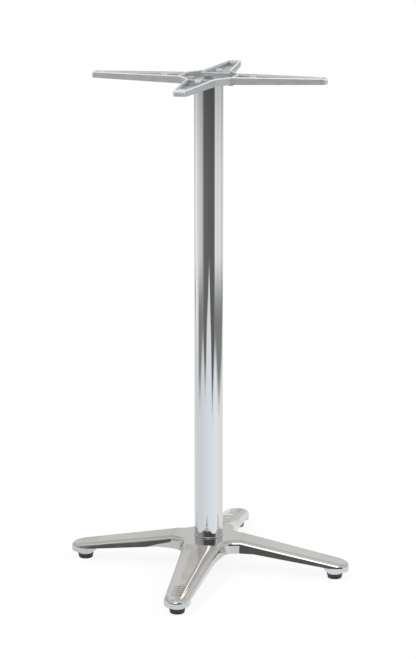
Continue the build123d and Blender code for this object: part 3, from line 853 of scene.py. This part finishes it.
def hexagon(name, flats, low, high):
    """Six-sided body with both ends chamfered, corners along X."""
    corner = flats / math.sqrt(3)
    rim = flats * hex_rim_share
    bite = (corner - rim) * hex_chamfer_slope
    body = turned(name, [(corner, low), (corner, high)], sides=6)
    body.rotation_euler = (0, 0, math.radians(30))
    bpy.ops.object.transform_apply(location=True, rotation=True, scale=True)
    cone = turned("chamfer", [(rim, low), (corner, low + bite),
                              (corner, high - bite), (rim, high)])
    combine(body, cone, "INTERSECT")
    return body


def bored(piece, radius, low, high):
    """Bore through a piece, with a small chamfer at both mouths."""
    mouth = radius + 2 * bore_chamfer
    tool = turned("bore", [(mouth, low - bore_chamfer), (radius, low + bore_chamfer),
                           (radius, high - bore_chamfer), (mouth, high + bore_chamfer)],
                  sides=32)
    combine(piece, tool, "DIFFERENCE")
    return piece


def washer(name, diameter, hole, low, high):
    """Stamped washer with softened edges."""
    radius = diameter / 2
    face = radius - washer_edge
    disc = turned(name, [(face, low), (radius, low + washer_edge),
                         (radius, high - washer_edge), (face, high)])
    return bored(disc, hole / 2, low, high)


def thread_outline(radius, low, high):
    """Thread drawn as rings from low to high, each with a root, a crest and two flanks."""
    root = radius - thread_depth * thread_pitch
    outline = []
    for turn in range(int((high - low) / thread_pitch)):
        foot = low + turn * thread_pitch
        for step, ring_radius in zip(thread_steps, (root, radius, radius, root)):
            outline.append((ring_radius, foot + step * thread_pitch))
    return outline


def hex_bolt(flats, length):
    """Bolt standing on its chamfered head, which goes down from the origin."""
    bolt = hexagon("bolt", flats, -bolt_head_height, 0.0)
    shank = turned("shank", [(bolt_radius, -bolt_head_height / 2),
                             (bolt_radius, length - bolt_tip),
                             (bolt_radius - bolt_tip, length)], sides=32)
    combine(bolt, shank, "UNION")
    return bolt


def copy_to(pattern, turn, place):
    """Copy of a pattern piece, turned by degrees and put in place."""
    piece = pattern.copy()
    piece.data = pattern.data.copy()
    bpy.context.scene.collection.objects.link(piece)
    bpy.ops.object.select_all(action="DESELECT")
    bpy.context.view_layer.objects.active = piece
    piece.select_set(True)
    piece.rotation_euler = [math.radians(angle) for angle in turn]
    piece.location = place
    bpy.ops.object.transform_apply(location=True, rotation=True, scale=True)
    return piece


def joined(name, pieces):
    """Several pieces made one."""
    bpy.ops.object.select_all(action="DESELECT")
    for piece in pieces:
        piece.select_set(True)
    bpy.context.view_layer.objects.active = pieces[0]
    bpy.ops.object.join()
    pieces[0].name = name
    pieces[0].data.name = name
    return pieces[0]


def finish_piece(piece, finish, *nodes, sharp=35.0):
    """Smooth a piece, give it its finish, and put it in place of its nodes."""
    bpy.ops.object.select_all(action="DESELECT")
    bpy.context.view_layer.objects.active = piece
    piece.select_set(True)
    bpy.ops.object.shade_smooth_by_angle(angle=math.radians(sharp))
    piece.data.materials.clear()
    piece.data.materials.append(finishes[finish])
    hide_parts(*nodes)
    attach(piece, "root")


# Outline of a foot pad from the floor up: radius and height in metres
pad_outline = [
    (0.0124, 0.0), (0.0137, 0.0), (0.0147, 0.0005), (0.0151, 0.0014), (0.0152, 0.0022),
    (0.0149, 0.0025), (0.0149, 0.0029), (0.0154, 0.0032), (0.0155, 0.0040),
    (0.0151, 0.0043), (0.0151, 0.0047), (0.0156, 0.0050), (0.0157, 0.0058),
    (0.0154, 0.0061), (0.0152, 0.0068), (0.0156, 0.0074), (0.0163, 0.0076), (0.0165, 0.0080),
    (0.0165, 0.0100), (0.0163, 0.0106), (0.0157, 0.0110), (0.0096, 0.0110), (0.0096, 0.0060),
]


def make_foot_pads():
    """Four ribbed pads, each with a well for its stud's head."""
    for foot, place in foot_places.items():
        pad = turned("pad_" + foot, pad_outline, centre=place)
        finish_piece(pad, "black_pad", "foot_pad_" + foot, sharp=50.0)


def make_tie_rod():
    """Threaded rod down the middle of the column, with its nuts and washers."""
    low, high = (corner[2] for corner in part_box("tie_rod"))
    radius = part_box("tie_rod")[1][0]
    end_radius = radius - rod_end_chamfer
    lower_thread = low + threaded_length
    upper_thread = high - threaded_length
    outline = [(end_radius, low)]
    outline += thread_outline(radius, low + rod_end_length, lower_thread)
    outline += [(radius, lower_thread + thread_run_out), (radius, upper_thread - thread_run_out)]
    outline += thread_outline(radius, upper_thread, high - rod_end_length)
    outline += [(end_radius, high)]
    rod = turned("threaded_rod", outline, sides=32)
    finish_piece(rod, "zinc_steel", "tie_rod", sharp=25.0)
    for end in ("lower", "upper"):
        node = "tie_rod_" + end + "_nut"
        floor_corner, top_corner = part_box(node)
        flats = 2 * top_corner[1]
        nut = hexagon(end + "_nut", flats, floor_corner[2], top_corner[2])
        bored(nut, radius, floor_corner[2], top_corner[2])
        finish_piece(nut, "zinc_steel", node, sharp=25.0)
        node = "tie_rod_" + end + "_washer"
        floor_corner, top_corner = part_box(node)
        hole = 2 * radius + rod_washer_clearance
        ring = washer(end + "_washer", 2 * top_corner[0], hole, floor_corner[2], top_corner[2])
        finish_piece(ring, "zinc_steel", node, sharp=25.0)


def make_leg_bolts():
    """Bolts and washers that hold each side leg to the hub."""
    low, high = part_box("leg_bolts")
    washer_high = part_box("leg_bolt_washers")[1]
    flats = high[2] - low[2]
    across = high[1] - flats / math.sqrt(3)
    height = (low[2] + high[2]) / 2
    seat = washer_high[0] - bolt_washer_thickness
    bolt = hex_bolt(flats, high[0] - seat)
    ring = washer("ring", washer_high[2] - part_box("leg_bolt_washers")[0][2], bolt_washer_hole,
                  0.0, bolt_washer_thickness)
    bolts = []
    rings = []
    for side in (-1, 1):
        for row in (-1, 1):
            place = (side * seat, row * across, height)
            bolts.append(copy_to(bolt, (0, side * 90, 0), place))
            rings.append(copy_to(ring, (0, side * 90, 0), place))
    for pattern in (bolt, ring):
        bpy.data.objects.remove(pattern, do_unlink=True)
    finish_piece(joined("side_leg_bolts", bolts), "zinc_steel", "leg_bolts", sharp=25.0)
    finish_piece(joined("side_leg_washers", rings), "zinc_steel", "leg_bolt_washers", sharp=25.0)


def make_arm_bolts():
    """Black bolts that hold the spider's side arms from below."""
    low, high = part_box("spider_arm_bolts")
    flats = high[1] - low[1]
    across = high[0] - flats / math.sqrt(3)
    seat = low[2] + bolt_head_height
    bolt = hex_bolt(flats, high[2] - seat)
    bolts = [copy_to(bolt, (0, 0, 0), (side * across, 0, seat)) for side in (-1, 1)]
    bpy.data.objects.remove(bolt, do_unlink=True)
    finish_piece(joined("arm_bolts", bolts), "black_steel", "spider_arm_bolts", sharp=25.0)


make_foot_pads()
make_tie_rod()
make_leg_bolts()
make_arm_bolts()

make_floor()
make_world()
make_lamp("key", side=-1.6, away=-2.0, up=3.2, size=1.6, power=60.0)
make_lamp("fill", side=2.4, away=-1.2, up=2.2, size=2.0, power=30.0)
make_camera()
bpy.context.scene.view_settings.view_transform = "Standard"
